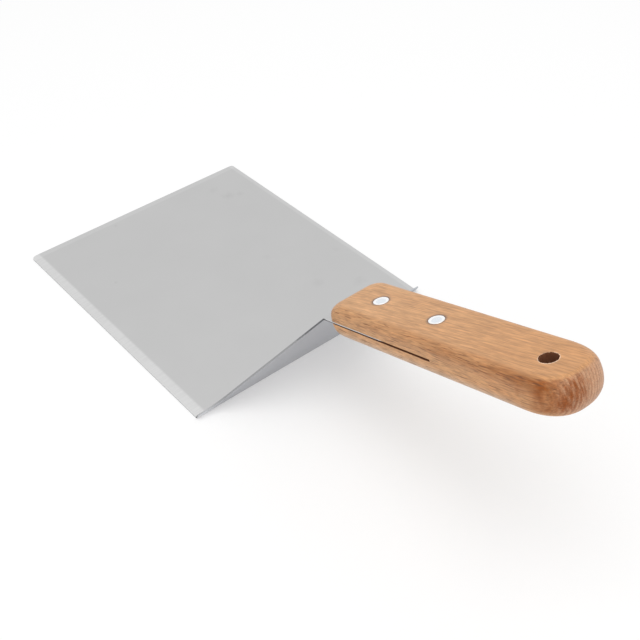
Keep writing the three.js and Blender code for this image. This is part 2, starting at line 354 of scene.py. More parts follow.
edit(blade)
for place, square in bevel_lines:
    pick(blade, "faces", faces_up)
    bpy.ops.mesh.bisect(plane_co=place, plane_no=square)
pick(blade, "verts", on_ground_border)
mesh = bmesh.from_edit_mesh(blade.data)
for vert in mesh.verts:
    if vert.select:
        turned = math.atan2(max(0, vert.co.x - fold_start), fold_centre.z - vert.co.z)
        fade = max(0, 1 - turned / WALL_LEAN)
        inward = Vector((-math.sin(turned), 0, math.cos(turned)))
        vert.co -= inward * (SHEET_THICKNESS - GROUND_EDGE_THICKNESS) * fade
bmesh.update_edit_mesh(blade.data)
bpy.ops.object.mode_set(mode="OBJECT")
print("ground", len(bevel_lines), "bevels down to", round(GROUND_EDGE_THICKNESS / MM, 2), "mm")

# %% [markdown]
# ## Blade: broken edges and shading
#
# No real sheet has a perfect corner: a light bevel breaks the burr. After that, smooth shading by angle keeps
# the bends round and the cut edges crisp, and weighted normals keep the large flats flat.

# %% Edges and shading of the blade
EDGE_BREAK = 0.06 * MM
EDGE_BREAK_STEPS = 2
EDGE_BREAK_ANGLE = math.radians(55)
METAL_SMOOTH_ANGLE = math.radians(30)
FACE_AREA_WEIGHT = 100


def shade(piece, angle):
    choose(piece)
    bpy.ops.object.shade_smooth_by_angle(angle=angle, keep_sharp_edges=True)
    apply_modifier(piece, "WEIGHTED_NORMAL", keep_sharp=True, weight=FACE_AREA_WEIGHT)


apply_modifier(
    blade, "BEVEL", width=EDGE_BREAK, segments=EDGE_BREAK_STEPS, limit_method="ANGLE",
    angle_limit=EDGE_BREAK_ANGLE, use_clamp_overlap=True,
)
shade(blade, METAL_SMOOTH_ANGLE)
print("blade sheet has", len(blade.data.polygons), "faces")

# %% [markdown]
# ## Handle: outline
#
# The handle is one stick of beech, shaped on a router and a belt sander. Its sides have a small rounding, its
# front is nearly a half round, and its oval tail swells out between two soft rims. A cube with one bevel
# can't have so many roundings, so `handle_ring` says how far the outline stands out at each height.

# %% Outline of the handle
HANDLE_LENGTH = 123 * MM
HANDLE_TAIL_WIDTH = 28.2 * MM
HANDLE_THICKNESS = 14.8 * MM
TOP_ROUNDING = 3.8 * MM
BOTTOM_ROUNDING = 4.5 * MM
FRONT_ROUNDING = 7.1 * MM
FRONT_CORNER = 5.2 * MM
TAIL_ROUND_LENGTH = 16.3 * MM
TAIL_FULLNESS = 2.5  # 2 is a plain oval, and more is squarer
TAIL_CROWN = 2.95 * MM
TAIL_RIM_ROUNDING = 1.2 * MM
CORNER_STEPS = 10
TAIL_STEPS = 32

half_handle = HANDLE_THICKNESS / 2
handle_tail = handle_front + HANDLE_LENGTH


def quarter_turn(steps):
    return [math.pi / 2 * step / steps for step in range(steps + 1)]


def rounding_inset(radius, height):
    past = max(0, abs(height) - (half_handle - radius))
    return radius - math.sqrt(max(0, radius ** 2 - past ** 2))


def tail_inset(height):
    radius = (half_handle ** 2 + TAIL_CROWN ** 2) / (2 * TAIL_CROWN)
    swell = radius - math.sqrt(radius ** 2 - height ** 2)
    return swell + rounding_inset(TAIL_RIM_ROUNDING, height)


def handle_ring(height):
    """The outline at one height, from the front's left corner round the tail to its right corner."""
    side = rounding_inset(TOP_ROUNDING if height > 0 else BOTTOM_ROUNDING, height)
    front = handle_front + rounding_inset(FRONT_ROUNDING, height)
    tail = handle_tail - tail_inset(height)
    half_front = HANDLE_FRONT_WIDTH / 2 - side
    half_tail = HANDLE_TAIL_WIDTH / 2 - side
    half = []
    for angle in quarter_turn(CORNER_STEPS):
        back = FRONT_CORNER * (1 - math.cos(angle))
        inset = FRONT_CORNER * (1 - math.sin(angle))
        half.append((front + back, half_front - inset))
    power = 2 / TAIL_FULLNESS
    for angle in quarter_turn(TAIL_STEPS):
        reach = TAIL_ROUND_LENGTH * (1 - math.sin(angle) ** power)
        half.append((tail - reach, half_tail * math.cos(angle) ** power))
    left = [Vector((x, -y, height)) for x, y in half]
    right = [Vector((x, y, height)) for x, y in half[:-1]]
    return left + right[::-1]


print("handle outline has", len(handle_ring(0)), "points")

# %% [markdown]
# ## Handle: body
#
# The handle grows from that outline: a circle is laid on the outline of the bottom face, and its edge is
# extruded upwards ring by ring. The rings lie closer near the top and the bottom, where the roundings are,
# and two faces close the ends.

# %% Handle body
HEIGHT_STEPS = 18

bpy.ops.mesh.primitive_circle_add(vertices=len(handle_ring(0)), radius=half_handle)
handle = bpy.context.object
handle.name = "beech_handle"
edit(handle)
for step in range(-HEIGHT_STEPS, HEIGHT_STEPS + 1):
    if step > -HEIGHT_STEPS:
        bpy.ops.mesh.extrude_edges_move()
    mesh = bmesh.from_edit_mesh(handle.data)
    ring = [vert for vert in mesh.verts if vert.select]
    height = half_handle * math.sin(math.pi / 2 * step / HEIGHT_STEPS)
    for vert, place in zip(ring, handle_ring(height)):
        vert.co = place
    bmesh.update_edit_mesh(handle.data)
bpy.ops.mesh.edge_face_add()
pick(handle, "edges", lambda edge: edge.is_boundary)
bpy.ops.mesh.edge_face_add()
bpy.ops.mesh.select_all(action="SELECT")
bpy.ops.mesh.normals_make_consistent(inside=False)
bpy.ops.object.mode_set(mode="OBJECT")
print("handle body", round(HANDLE_LENGTH / MM, 1), "mm long,", len(handle.data.polygons), "faces")

# %% [markdown]
# ## Handle: saw cut and rivet bores
#
# A saw opens the front of the handle for the tang. The cut is a little wider than the sheet and the tang sits
# against its upper face, so a dark line shows under the tang's bright edge. Each rivet gets a bore, with a
# wider seat for its head at both ends. Boolean cutters do all this, and their material stays on the faces
# that they leave.

# %% Saw cut and rivet bores
SLOT_TOP = 0.37 * MM  # over the tang's middle plane
SLOT_BOTTOM = -0.58 * MM
RIVET_HEAD_DIAMETER = 6.3 * MM
RIVET_HEAD_THICKNESS = 1.6 * MM
RIVET_HEAD_GAP = 0.12 * MM
RIVET_SLEEVE_DIAMETER = 4.2 * MM

beech = bpy.data.materials.new("sanded_oiled_beech")
shaded_cut_beech = bpy.data.materials.new("sawn_and_drilled_beech_painted_shade")
handle.data.materials.append(beech)


def round_cutter(along, bottom, top, diameter):
    bpy.ops.mesh.primitive_cylinder_add(
        vertices=ROUND_SIDES, radius=diameter / 2, depth=top - bottom,
        location=(along, 0, (top + bottom) / 2),
    )
    cutter = bpy.context.object
    cutter.data.materials.append(shaded_cut_beech)
    bpy.ops.object.transform_apply(location=True, rotation=True, scale=True)
    return cutter


bpy.ops.mesh.primitive_cube_add(size=1, location=(slot_end / 2, 0, (SLOT_TOP + SLOT_BOTTOM) / 2))
saw = bpy.context.object
saw.scale = (slot_end, 2 * HANDLE_TAIL_WIDTH, SLOT_TOP - SLOT_BOTTOM)
bpy.ops.object.transform_apply(location=True, rotation=True, scale=True)
saw.data.materials.append(shaded_cut_beech)
cut(handle, saw)

head_seat = half_handle - RIVET_HEAD_THICKNESS - RIVET_HEAD_GAP
through = HANDLE_THICKNESS
sleeve_bore = RIVET_SLEEVE_DIAMETER + 2 * RIVET_HEAD_GAP
head_bore = RIVET_HEAD_DIAMETER + 2 * RIVET_HEAD_GAP
for along in rivet_places:
    cut(handle, round_cutter(along, -through, through, sleeve_bore))
    cut(handle, round_cutter(along, head_seat, through, head_bore))
    cut(handle, round_cutter(along, -through, -head_seat, head_bore))
print("sawn", round(slot_end / MM, 1), "mm deep, and bored for", len(rivet_places), "rivets")

# %% [markdown]
# ## Handle: hang hole
#
# The hang hole was drilled in a hurry: its rim is a little ragged, and a countersink has broken its edge. So
# the drill is a cylinder whose ends are pulled out wider and whose points are moved a little at random. The
# countersink was sanded with the handle, so its faces get the finish of the outside again.

# %% Hang hole
HANG_HOLE_DIAMETER = 7 * MM
HANG_HOLE_SETBACK = 16.1 * MM
HANG_HOLE_CHAMFER = 0.15 * MM
HANG_HOLE_RAGGED = 0.16 * MM
RAGGED_SEED = 7
LEVEL = 0.9  # the least upright part of a normal on a level face
SLOPING = 0.2  # the least of it on a sloping face
WOOD_SMOOTH_ANGLE = math.radians(35)

hang_hole = handle_tail - HANG_HOLE_SETBACK
rough = random.Random(RAGGED_SEED)
drill = round_cutter(hang_hole, -half_handle, half_handle, HANG_HOLE_DIAMETER)
edit(drill)
for side in (1, -1):
    pick(drill, "faces", lambda face: face.normal.z * side > LEVEL)
    bpy.ops.transform.translate(value=(0, 0, -side * HANG_HOLE_CHAMFER))
    rise = (0, 0, side * 2 * HANG_HOLE_CHAMFER)
    bpy.ops.mesh.extrude_region_move(TRANSFORM_OT_translate={"value": rise})
    grown = 1 + 4 * HANG_HOLE_CHAMFER / HANG_HOLE_DIAMETER
    bpy.ops.transform.resize(value=(grown, grown, 1), center_override=(hang_hole, 0, 0))
mesh = bmesh.from_edit_mesh(drill.data)
for vert in mesh.verts:
    outward = Vector((vert.co.x - hang_hole, vert.co.y, 0)).normalized()
    vert.co += outward * rough.uniform(-HANG_HOLE_RAGGED, HANG_HOLE_RAGGED)
bmesh.update_edit_mesh(drill.data)
bpy.ops.object.mode_set(mode="OBJECT")
cut(handle, drill)
edit(handle)
chamfer_height = half_handle - HANG_HOLE_CHAMFER - TINY


def on_countersink(face):
    from_hole = (face.calc_center_median().xy - Vector((hang_hole, 0))).length
    sloping = SLOPING < abs(face.normal.z) < LEVEL
    at_rim = all(abs(vert.co.z) > chamfer_height for vert in face.verts)
    return from_hole < HANG_HOLE_DIAMETER and sloping and at_rim


pick(handle, "faces", on_countersink)
handle.active_material_index = 0
bpy.ops.object.material_slot_assign()
bpy.ops.object.mode_set(mode="OBJECT")
shade(handle, WOOD_SMOOTH_ANGLE)
print("handle has", len(handle.data.polygons), "faces and", len(handle.data.materials), "materials")

# %% [markdown]
# ## Rivets
#
# Each rivet is a pair: a sleeve with a tube goes in from the top, and a post goes in from below and is
# pressed into the tube. A turned part could be a spun profile. Here a disc is inset and pushed, which shows
# more plainly how the head gets its rim and its shallow dish. Both halves are modelled once with the head
# on top, and the copies are turned over and moved to their holes.

# %% Rivets
RIVET_RIM_WIDTH = 1.0 * MM
RIVET_DISH = 0.22 * MM
RIVET_EDGE = 0.12 * MM
RIVET_EDGE_STEPS = 3
RIVET_SLEEVE_WALL = 0.6 * MM
RIVET_PRESS_GAP = 0.1 * MM
FLAT = 0.99  # the least upright part of a normal on a flat

rim_metal = bpy.data.materials.new("turned_aluminium_rim")
dish_metal_painted_reflection = bpy.data.materials.new("pressed_aluminium_dish_painted_reflection")
head_radius = RIVET_HEAD_DIAMETER / 2
head_underside = half_handle - RIVET_HEAD_THICKNESS
shank = Vector((0, 0, RIVET_PRESS_GAP - 2 * head_underside))


def is_top(face):
    return face.normal.z > FLAT and face.calc_center_median().z > half_handle - RIVET_DISH - TINY


def rivet_half(name, shank_radius, bore_radius):
    bpy.ops.mesh.primitive_circle_add(
        vertices=ROUND_SIDES, radius=head_radius, fill_type="NGON", location=(0, 0, head_underside)
    )
    rivet = bpy.context.object
    rivet.name = name
    for metal in (rim_metal, dish_metal_painted_reflection):
        rivet.data.materials.append(metal)
    bpy.ops.object.transform_apply(location=True, rotation=True, scale=True)
    edit(rivet)
    bpy.ops.mesh.select_all(action="SELECT")
    bpy.ops.mesh.extrude_region_move(TRANSFORM_OT_translate={"value": (0, 0, RIVET_HEAD_THICKNESS)})
    bpy.ops.mesh.select_all(action="SELECT")
    bpy.ops.mesh.normals_make_consistent(inside=False)
    pick(rivet, "edges", lambda edge: all(vert.co.z > half_handle - TINY for vert in edge.verts))
    bpy.ops.mesh.bevel(offset=RIVET_EDGE, segments=RIVET_EDGE_STEPS, affect="EDGES")
    pick(rivet, "faces", is_top)
    for _ in range(2):  # the flat rim, and the slope from it into the dish
        bpy.ops.mesh.inset(thickness=RIVET_RIM_WIDTH / 2)
    bpy.ops.transform.translate(value=(0, 0, -RIVET_DISH))
    rivet.active_material_index = 1
    bpy.ops.object.material_slot_assign()
    pick(rivet, "faces", lambda face: face.normal.z < -FLAT)
    bpy.ops.mesh.inset(thickness=head_radius - shank_radius)
    bpy.ops.mesh.extrude_region_move(TRANSFORM_OT_translate={"value": shank})
    if bore_radius > 0:
        bpy.ops.mesh.inset(thickness=shank_radius - bore_radius)
        bpy.ops.mesh.extrude_region_move(TRANSFORM_OT_translate={"value": -shank})
    bpy.ops.object.mode_set(mode="OBJECT")
    return rivet


tube_radius = RIVET_SLEEVE_DIAMETER / 2 - RIVET_SLEEVE_WALL
sleeve = rivet_half("sleeve", RIVET_SLEEVE_DIAMETER / 2, tube_radius)
post = rivet_half("post", tube_radius - RIVET_PRESS_GAP, 0)
print("sleeve and post have", len(sleeve.data.polygons), "and", len(post.data.polygons), "faces")

# %% [markdown]
# ## Assembly
#
# The handle and the rivets were modelled along the X axis. Now they are turned to the tang's rise and moved
# to its corner, and that is applied to their meshes, so that every object sits unturned at the origin.

# %% Put the handle and the rivets on the tang


def seat(piece, along=0, turned_over=False):
    choose(piece)
    piece.rotation_euler = (math.pi if turned_over else 0, -TANG_RISE, 0)
    piece.location = handle_place(along)
    bpy.ops.object.transform_apply(location=True, rotation=True, scale=True)


rivets = {}
for place, along in zip(("front", "rear"), rivet_places):
    for half, model in (("sleeve", sleeve), ("post", post)):
        copy = bpy.data.objects.new(f"{place}_rivet_{half}_turned", model.data.copy())
        bpy.context.scene.collection.objects.link(copy)
        seat(copy, along, turned_over=half == "post")
        shade(copy, METAL_SMOOTH_ANGLE)
        rivets[f"{place}_rivet_{half}"] = copy
seat(handle)
for model in (sleeve, post):
    bpy.data.objects.remove(model)
print("seated the handle and", len(rivets), "rivet halves")

# %% [markdown]
# ## How the finishes are made
#
# A finish starts from what the surface is and how it was made. Each one is a small graph of nodes on Object
# coordinates in millimetres, so that a pattern has its real size. One function adds a node with its settings
# and links, and one turns a colour picked on a screen into the linear light that Blender works with.

# %% Tools for finishes
SMOOTH = {"interpolation_type": "SMOOTHSTEP"}
TIMES = {"operation": "MULTIPLY"}
TIMES_CLAMPED = {"operation": "MULTIPLY", "use_clamp": True}
TIMES_PLUS = {"operation": "MULTIPLY_ADD"}
MINUS = {"operation": "SUBTRACT"}
ALONG = {"operation": "DOT_PRODUCT"}
LENGTH = {"operation": "LENGTH"}
LARGER = {"operation": "MAXIMUM"}
OVER = {"data_type": "RGBA"}
TINTED = {"data_type": "RGBA", "blend_type": "MULTIPLY"}
SHARE, BELOW, ABOVE = 0, 6, 7  # the sockets of a colour mix
NOISE_LOW, NOISE_HIGH = 0.3, 0.7  # most of a noise lies between these


def linear(hex_colour):
    """An sRGB hex colour as linear red, green, blue and alpha."""
    parts = [int(hex_colour[k:k + 2], 16) / 255 for k in (1, 3, 5)]
    return [part / 12.92 if part <= 0.04045 else ((part + 0.055) / 1.055) ** 2.4 for part in parts] + [1]


def set_inputs(tree, node, inputs):
    """An input is a plain value, a socket, or a node, whose first live output is then meant."""
    for key, value in dict(inputs).items():
        if isinstance(value, bpy.types.Node):
            value = next(output for output in value.outputs if output.enabled)
        if isinstance(value, bpy.types.NodeSocket):
            tree.links.new(value, node.inputs[key])
        else:
            node.inputs[key].default_value = value


def add_node(tree, kind, settings=(), inputs=()):
    node = tree.nodes.new("ShaderNode" + kind)
    for name, value in dict(settings).items():
        setattr(node, name, value)
    set_inputs(tree, node, inputs)
    return node


def start_finish(material):
    """An empty graph with Object coordinates in millimetres, a shader and its output."""
    material.use_nodes = True
    tree = material.node_tree
    tree.nodes.clear()
    shader = add_node(tree, "BsdfPrincipled")
    add_node(tree, "OutputMaterial", inputs={"Surface": shader})
    place = add_node(tree, "TexCoord")
    in_mm = add_node(tree, "Mapping", {"vector_type": "TEXTURE"}, {
        "Vector": place.outputs["Object"], "Scale": (MM, MM, MM),
    })
    return tree, shader, in_mm


print("tools ready: linear, set_inputs, add_node, start_finish")

# %% [markdown]
# ## Spots and lines
#
# Two small graphs come back in several finishes: a spot with a ragged border, as water and oil leave it, and
# the distance from a line, which serves for rings, a vein and the rim of a hole.

# %% Spots and distances
RAGGED_DEPTH = 1.6  # times a spot's radius, how far noise moves its border
SPOT_FULL, SPOT_END = 0.7, 1.9  # times its radius, where a spot starts to fade and where it ends


def ragged_spot(tree, place, centre, radius, noise):
    """One in the middle of a spot, nought outside it, and a ragged border between."""
    away = add_node(tree, "VectorMath", {"operation": "DISTANCE"}, {0: place, 1: centre})
    ragged = add_node(tree, "Math", TIMES_PLUS, {0: noise, 1: RAGGED_DEPTH * radius, 2: away})
    return add_node(tree, "MapRange", SMOOTH, {
        "Value": ragged, "From Min": SPOT_FULL * radius, "From Max": SPOT_END * radius,
        "To Min": 1.0, "To Max": 0.0,
    })


def line_distance(tree, place, point, square):
    """The distance from a line through a point. Square is nought along the line, and one across it."""
    offset = add_node(tree, "VectorMath", MINUS, {0: place, 1: point})
    across = add_node(tree, "VectorMath", TIMES, {0: offset, 1: square})
    return add_node(tree, "VectorMath", LENGTH, {0: across})


print("tools ready: ragged_spot, line_distance")

# %% [markdown]
# ## Satin steel
#
# Stainless sheet leaves the rolling mill with a dull satin skin: it mirrors only a blur of the room, so
# the blade is an even pale grey. A painted grey would look like plastic; a metal with a wide blur does not.
# This cell makes the noises of its clouds, smears and scratches, and tells by the normal which faces look
# down.

# %% Noises and faces of the satin steel
CLOUD_SIZE = 30.0  # mm
SMEARS_PER_MM = 0.45
SMEAR_ROUGHNESS = 0.65
SCRATCH_LENGTH = 7.0  # mm
SCRATCH_WIDTH = 0.6  # mm
SCRATCH_DEPTH = 0.25
UNDER_START, UNDER_FULL = -0.1, -0.3  # the upward part of a normal, on faces that look down
FLAT_UNDER = -0.7  # the same, between the rear of the wall and the flat underside

tree, shader, in_mm = start_finish(satin_steel)
clouds = add_node(tree, "TexNoise", inputs={"Vector": in_mm, "Scale": 1 / CLOUD_SIZE, "Detail": 3.0})
smear = add_node(tree, "TexNoise", inputs={
    "Vector": in_mm, "Scale": SMEARS_PER_MM, "Detail": 3.0, "Roughness": SMEAR_ROUGHNESS,
})
scratch_place = add_node(tree, "Mapping", inputs={
    "Vector": in_mm, "Scale": (1 / SCRATCH_WIDTH, 1 / SCRATCH_LENGTH, 1 / SCRATCH_LENGTH),
})
scratches = add_node(tree, "TexNoise", inputs={"Vector": scratch_place, "Scale": 1.0, "Detail": 2.0})
scratched = add_node(tree, "MapRange", inputs={
    "Value": scratches, "From Min": NOISE_LOW, "From Max": NOISE_HIGH,
    "To Min": 1 - SCRATCH_DEPTH, "To Max": 1 + SCRATCH_DEPTH,
})
surface = add_node(tree, "TexCoord")
facing = add_node(tree, "SeparateXYZ", inputs={"Vector": surface.outputs["Normal"]})
under = add_node(tree, "MapRange", inputs={
    "Value": facing.outputs["Z"], "From Min": UNDER_START, "From Max": UNDER_FULL,
})
not_below = add_node(tree, "Math", {"operation": "GREATER_THAN"}, {0: facing.outputs["Z"], 1: FLAT_UNDER})
wall_rear = add_node(tree, "Math", TIMES, {0: under, 1: not_below})
brush = add_node(tree, "Math", TIMES, {0: scratched, 1: not_below})
print("satin steel has clouds of", CLOUD_SIZE, "mm and scratches of", SCRATCH_LENGTH, "mm")

# %% [markdown]
# ## Satin steel: marks and colour
#
# Grinding leaves the bevels brighter, with fine scratches square to the edge, and the brightness fades at
# their upper line, where the wheel lifted off. The left bevel is painted brighter still, as painted
# reflection. A few water stains have dried on the sheet. Faces that look down are painted a little darker
# and cooler, as painted shade, and behind the wall the left lip is painted brighter and the right lip darker,
# as painted reflection. Each of these makes the tone of the grey higher or lower by its own share.

# %% Marks and colour of the satin steel
STEEL_GREY = "#C1C1C1"
DOWNWARD_SHADE_GREY = "#BDBEC2"  # painted shade: the underside and the rear of the wall look down and are painted darker and cooler
STEEL_ROUGHNESS = 0.42
CLOUD_DEPTH = 0.03
STAIN_DEPTH = 0.14
BEVEL_GAINS_AND_REFLECTION = [0.06, 0.2, 0.09]  # front, left and right bevel, brighter than the sheet from grinding, the left also by painted reflection
BEVEL_FADE = 0.7  # mm to each side of a bevel's upper line
# Painted reflection behind the wall, brighter at the left lip and darker at the right: place, radius and gain
LIP_REFLECTIONS = [
    (79, -62, 2, 12, 0.45),
    (79, 62, 2, 12, -0.18),
]
# Water stains: place along and across the blade, radius and strength
STAINS = [
    (-52, 43.5, 4.2, 0.55),
    (-62, 40.5, 3.6, 0.3),
    (-49, 49.5, 3.0, 0.35),
    (-27.7, -41.9, 1.1, 0.55),
    (-70, -16.8, 1.5, 0.4),
    (6.7, 26, 3.0, 0.2),
    (41, 32, 4.0, 0.3),
    (53.7, 48, 5.0, 0.35),
    (26.4, 55.5, 3.0, 0.25),
]

marks = []  # where the sheet is brighter or darker, and by how much
for along, across, radius, strength in STAINS:
    stain = ragged_spot(tree, in_mm, (along, across, SHEET_THICKNESS / MM), radius, smear)
    marks.append((stain, -STAIN_DEPTH * strength))
# painted reflection on the rear of the wall at each lip
for *centre, radius, gain in LIP_REFLECTIONS:
    lip_reflection = ragged_spot(tree, in_mm, centre, radius, smear)
    marks.append((add_node(tree, "Math", TIMES, {0: lip_reflection, 1: wall_rear}), gain))
for (place, square), gain in zip(bevel_lines, BEVEL_GAINS_AND_REFLECTION):
    offset = add_node(tree, "VectorMath", MINUS, {0: in_mm, 1: place / MM})
    inside = add_node(tree, "VectorMath", ALONG, {0: offset, 1: square})
    band = add_node(tree, "MapRange", SMOOTH, {
        "Value": inside, "From Min": -BEVEL_FADE, "From Max": BEVEL_FADE, "To Min": gain, "To Max": 0.0,
    })
    marks.append((band, brush))
tone = add_node(tree, "MapRange", inputs={
    "Value": clouds, "To Min": 1 - CLOUD_DEPTH, "To Max": 1 + CLOUD_DEPTH,
})
for mark, gain in marks:
    tone = add_node(tree, "Math", TIMES_PLUS, {0: mark, 1: gain, 2: tone})
# painted shade: faces that look down take the darker, cooler grey
grey = add_node(tree, "Mix", OVER, {SHARE: under, BELOW: linear(STEEL_GREY), ABOVE: linear(DOWNWARD_SHADE_GREY)})
colour = add_node(tree, "Mix", TINTED, {SHARE: 1.0, BELOW: grey, ABOVE: tone})
set_inputs(tree, shader, {"Base Color": colour, "Metallic": 1.0, "Roughness": STEEL_ROUGHNESS})
print("satin steel has", len(tree.nodes), "nodes and", len(STAINS), "stains")

# %% [markdown]
# ## Sheared steel
#
# Shears leave a torn, dull strip on every cut edge. It stays dark high on the wall's slopes, and along the
# ground border, where it is also painted shade next to the table. Low down it is lighter, and on the right lip
# it is painted a light bluish grey as painted reflection. In the handle's side the tang's edge gets a painted
# highlight, with painted shade in the slot under it. Masks by height and place lay these greys over each
# other.

# %% Sheared edge
SHEARED_GREY = "#6C6D6F"
LOWER_EDGE_GREY = "#9C9D9E"
# partly painted contact shade: the dull cut edge is painted darker where it meets the table
BORDER_AND_CONTACT_SHADE_GREY = "#5C5E61"
# painted reflection: the right lip's cut edge is painted a light bluish grey
RIGHT_LIP_REFLECTION_GREY = "#BCBFC3"
# painted highlight on the upper part of the tang's edge in the handle's side, and painted shade in the slot
# under it
TANG_HIGHLIGHT_GREY = "#E2E3E5"
SLOT_SHADE_GREY = "#4E4A48"
EDGE_ROUGHNESS = 0.5
LOWER_EDGE_HEIGHT, SHEARED_HEIGHT = 32.0, 39.0  # mm over the table
RAGGED_HEIGHT = 10.0  # mm, how far noise moves the border between them
TEARS_PER_MM = 0.9
LIP_START, LIP_FULL = 50.0, 58.0  # mm to the right of the middle
BORDER_HEIGHT = 1.0  # mm over the table
SHADE_LINE = -0.05  # where the tang's edge turns from painted highlight above to painted shade in the slot below
SHADE_LINE_FADE = 0.05  # mm

tree, shader, in_mm = start_finish(sheared_steel)
torn = add_node(tree, "TexNoise", inputs={"Vector": in_mm, "Scale": TEARS_PER_MM, "Detail": 3.0})
axes = add_node(tree, "SeparateXYZ", inputs={"Vector": in_mm})
ragged = add_node(tree, "Math", TIMES_PLUS, {0: torn, 1: RAGGED_HEIGHT, 2: axes.outputs["Z"]})
upper_edge = add_node(tree, "MapRange", SMOOTH, {
    "Value": ragged,
    "From Min": LOWER_EDGE_HEIGHT + RAGGED_HEIGHT / 2, "From Max": SHEARED_HEIGHT + RAGGED_HEIGHT / 2,
})
right_lip = add_node(tree, "MapRange", SMOOTH, {
    "Value": axes.outputs["Y"], "From Min": LIP_START, "From Max": LIP_FULL,
})
border = add_node(tree, "Math", {"operation": "LESS_THAN"}, {0: axes.outputs["Z"], 1: BORDER_HEIGHT})
in_handle = add_node(tree, "MapRange", SMOOTH, {
    "Value": axes.outputs["X"],
    "From Min": tang_corner.x / MM, "From Max": handle_place(handle_front).x / MM,
})
square_to_tang = (-tang_way.z, 0, tang_way.x)
over_tang = add_node(tree, "VectorMath", MINUS, {0: in_mm, 1: tang_corner / MM})
height = add_node(tree, "VectorMath", ALONG, {0: over_tang, 1: square_to_tang})
tang_highlight = add_node(tree, "MapRange", SMOOTH, {
    "Value": height, "From Min": SHADE_LINE - SHADE_LINE_FADE, "From Max": SHADE_LINE + SHADE_LINE_FADE,
})
# the tang's edge in the handle's side: painted highlight above, painted shade in the slot below
tang_edge_light_and_shade = add_node(tree, "Mix", OVER, {
    SHARE: tang_highlight, BELOW: linear(SLOT_SHADE_GREY), ABOVE: linear(TANG_HIGHLIGHT_GREY),
})
colour = linear(LOWER_EDGE_GREY)
# lower and upper edge greys, then painted reflection on the right lip, painted contact shade at the border,
# and painted highlight and shade on the tang's edge
for mask, grey in (
    (upper_edge, linear(SHEARED_GREY)), (right_lip, linear(RIGHT_LIP_REFLECTION_GREY)), (border, linear(BORDER_AND_CONTACT_SHADE_GREY)),
    (in_handle, tang_edge_light_and_shade),
):
    colour = add_node(tree, "Mix", OVER, {SHARE: mask, BELOW: colour, ABOVE: grey})
set_inputs(tree, shader, {"Base Color": colour, "Metallic": 1.0, "Roughness": EDGE_ROUGHNESS})
print("sheared edge from", LOWER_EDGE_GREY, "to", SHEARED_GREY)

# %% [markdown]
# ## Beech: grain
#
# Beech is pale, warm and even. Its growth rings lie upright in this stick, so they show as fine lines along
# the top and as upright stripes on the tail. A picture of wood would end at every edge, so the grain is a
# solid pattern in the handle's own directions: along it, across and up. Noise that is stretched along the
# grain makes fibres, flecks and patches, and the distance from the heart of the tree makes the rings.

# %% Grain of the beech
GRAIN_DRIFT = math.radians(4.6)  # the grain wanders to the right towards the tail
RING_SPACING = 1.45  # mm
RING_SWIRL = 0.9  # mm, how far a ring wanders
RING_CENTRE = (0, 55, -16)  # mm, the heart of the tree, beside the handle
RING_START, RING_FULL = 0.3, 0.95  # of the way from ring to ring, where the dark late wood grows
ROUND_THE_GRAIN = (0, 1, 1)
# For each noise its length along the grain, across it and up, in mm, and its detail
GRAIN_NOISES = {
    "swirl": ((45, 14, 14), 2.0),
    "patches": ((30, 5, 8), 3.0),
    "mottle": ((5, 1.6, 1.6), 2.0),
    "fibres": ((7, 0.4, 0.4), 3.0),
    "flecks": ((7, 1.5, 0.4), 1.0),
    "vein": ((16, 2.5, 0.8), 3.0),
    "figure": ((4, 0.9, 4), 3.0),
}

tree, shader, handle_mm = start_finish(beech)
set_inputs(tree, handle_mm, {"Location": tang_corner, "Rotation": (0, -TANG_RISE, 0)})
grain_mm = add_node(tree, "Mapping", {"vector_type": "TEXTURE"}, {
    "Vector": handle_mm, "Rotation": (0, 0, GRAIN_DRIFT),
})
grain = {}
for name, (lengths, detail) in GRAIN_NOISES.items():
    place = add_node(tree, "Mapping", inputs={
        "Vector": grain_mm, "Scale": [1 / length for length in lengths],
    })
    grain[name] = add_node(tree, "TexNoise", inputs={"Vector": place, "Scale": 1.0, "Detail": detail})

from_heart = line_distance(tree, grain_mm, RING_CENTRE, ROUND_THE_GRAIN)
wandering = add_node(tree, "Math", TIMES_PLUS, {0: grain["swirl"], 1: 2 * RING_SWIRL, 2: from_heart})
ring_count = add_node(tree, "Math", {"operation": "DIVIDE"}, {0: wandering, 1: RING_SPACING})
ring_phase = add_node(tree, "Math", {"operation": "FRACT"}, {0: ring_count})
ring_line = add_node(tree, "MapRange", SMOOTH, {
    "Value": ring_phase, "From Min": RING_START, "From Max": RING_FULL,
})
print("beech grain has", len(grain), "noises and rings", RING_SPACING, "mm apart")

# %% [markdown]
# ## Beech: where the wood differs
#
# End grain drinks the oil and turns redder, which shows on the tail, and its paler pink is also a painted
# sheen. A darker vein runs under the left upper edge and grows stronger towards the tail. Each of these is a
# mask: one where the wood differs, and nought elsewhere.

# %% Masks of end grain and vein
END_START, END_FULL = 0.4, 0.85  # how far a face looks along the handle
VEIN_PLACE = (0, -13.2, 5.4)  # mm
VEIN_RADIUS = 4.6  # mm
VEIN_CORE = 0.2  # times its radius
VEIN_START, VEIN_FULL = 40.0, 110.0  # mm along the handle
VEIN_WEAK, VEIN_STRONG = 0.42, 1.2
VEIN_GAPS = 0.25  # what is left of the vein between its streaks

surface = add_node(tree, "TexCoord")
facing_along = add_node(tree, "VectorMath", ALONG, {0: surface.outputs["Normal"], 1: tang_way})
end_grain = add_node(tree, "MapRange", SMOOTH, {
    "Value": facing_along, "From Min": END_START, "From Max": END_FULL,
})

